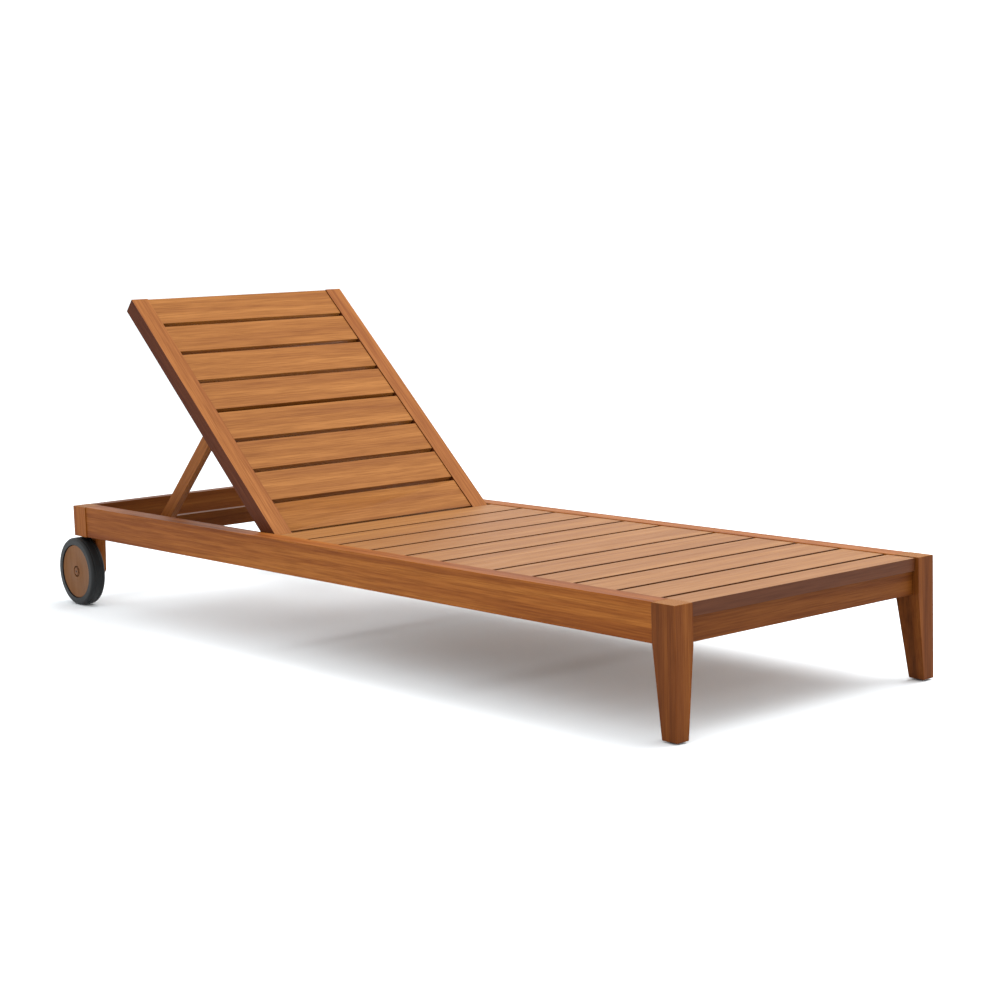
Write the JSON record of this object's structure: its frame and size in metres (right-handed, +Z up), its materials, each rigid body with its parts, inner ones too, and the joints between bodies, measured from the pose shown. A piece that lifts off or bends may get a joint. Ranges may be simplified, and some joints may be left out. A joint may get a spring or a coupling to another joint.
{
  "type": "reclining sun lounger",
  "caption": "Low slatted hardwood sun lounger on two tapered legs and two wheels, with a slatted backrest held at notched recline positions by a pair of prop arms.",
  "frame": {"origin": "on the floor under the middle of the bounding box, wheels included", "axes": "+X along the bed to the foot end, +Y across the bed to the far side, +Z up"},
  "size_m": [2.065, 0.699, 0.7203],
  "materials": {
    "frame_wood": "oiled hardwood, satin",
    "slat_wood": "oiled hardwood, satin",
    "inner_wood": "oiled hardwood, satin",
    "disc_wood": "turned hardwood disc, satin",
    "tyre_rubber": "black rubber, satin",
    "nylon": "black nylon",
    "pin_steel": "stainless steel"
  },
  "bodies": {
    "frame": {"side_rail_near": "frame_wood", "side_rail_far": "frame_wood", "foot_leg_near": "frame_wood", "foot_leg_far": "frame_wood", "foot_glide_near": "nylon", "foot_glide_far": "nylon", "wheel_leg_near": "frame_wood", "wheel_leg_far": "frame_wood", "notched_rack_near": "inner_wood", "notched_rack_far": "inner_wood", "stile_rest_near": "inner_wood", "stile_rest_far": "inner_wood", "hinge_pin_near": "pin_steel", "hinge_pin_far": "pin_steel", "seat_bearer_near": "inner_wood", "seat_bearer_far": "inner_wood", "wheel_axle_near": "pin_steel", "wheel_axle_far": "pin_steel", "head_rail": "frame_wood", "foot_rail": "frame_wood", "hinge_stretcher": "inner_wood", "middle_stretcher": "inner_wood", "seat_slat_01": "slat_wood", "seat_slat_02": "slat_wood", "seat_slat_03": "slat_wood", "seat_slat_04": "slat_wood", "seat_slat_05": "slat_wood", "seat_slat_06": "slat_wood", "seat_slat_07": "slat_wood", "seat_slat_08": "slat_wood", "seat_slat_09": "slat_wood", "seat_slat_10": "slat_wood", "seat_slat_11": "slat_wood"},
    "backrest": {"back_stile_near": "frame_wood", "back_stile_far": "frame_wood", "back_batten": "inner_wood", "arm_bolt_near": "pin_steel", "arm_bolt_far": "pin_steel", "back_slat_1": "slat_wood", "back_slat_2": "slat_wood", "back_slat_3": "slat_wood", "back_slat_4": "slat_wood", "back_slat_5": "slat_wood", "back_slat_6": "slat_wood", "back_slat_7": "slat_wood", "back_slat_8": "slat_wood"},
    "prop": {"prop_arm_near": "frame_wood", "prop_arm_far": "frame_wood", "foot_pin_near": "pin_steel", "foot_pin_far": "pin_steel", "prop_crossbar": "inner_wood"},
    "wheel_near": {"tyre_near": "tyre_rubber", "wheel_disc_near": "disc_wood", "wheel_bush_near": "nylon"},
    "wheel_far": {"tyre_far": "tyre_rubber", "wheel_disc_far": "disc_wood", "wheel_bush_far": "nylon"}
  },
  "joints": [
    {"name": "recline", "type": "hinge", "parent": "frame", "child": "backrest", "pos_m": [-0.2015, 0, 0.217], "axis": [0, 1, 0], "range_deg": [-42.3, 14.1]},
    {"name": "prop_swing", "type": "hinge", "parent": "backrest", "child": "prop", "pos_m": [-0.48917, 0, 0.43279], "axis": [0, 1, 0], "range_deg": [-29.1, 87.2]},
    {"name": "wheel_spin_near", "type": "hinge", "parent": "frame", "child": "wheel_near", "pos_m": [-0.9525, -0.33, 0.08], "axis": [0, 1, 0], "continuous": true},
    {"name": "wheel_spin_far", "type": "hinge", "parent": "frame", "child": "wheel_far", "pos_m": [-0.9525, 0.33, 0.08], "axis": [0, 1, 0], "continuous": true}
  ],
  "couplings": [
    {"joint": "prop_swing", "follows": "recline", "ratio": -2.06}
  ]
}
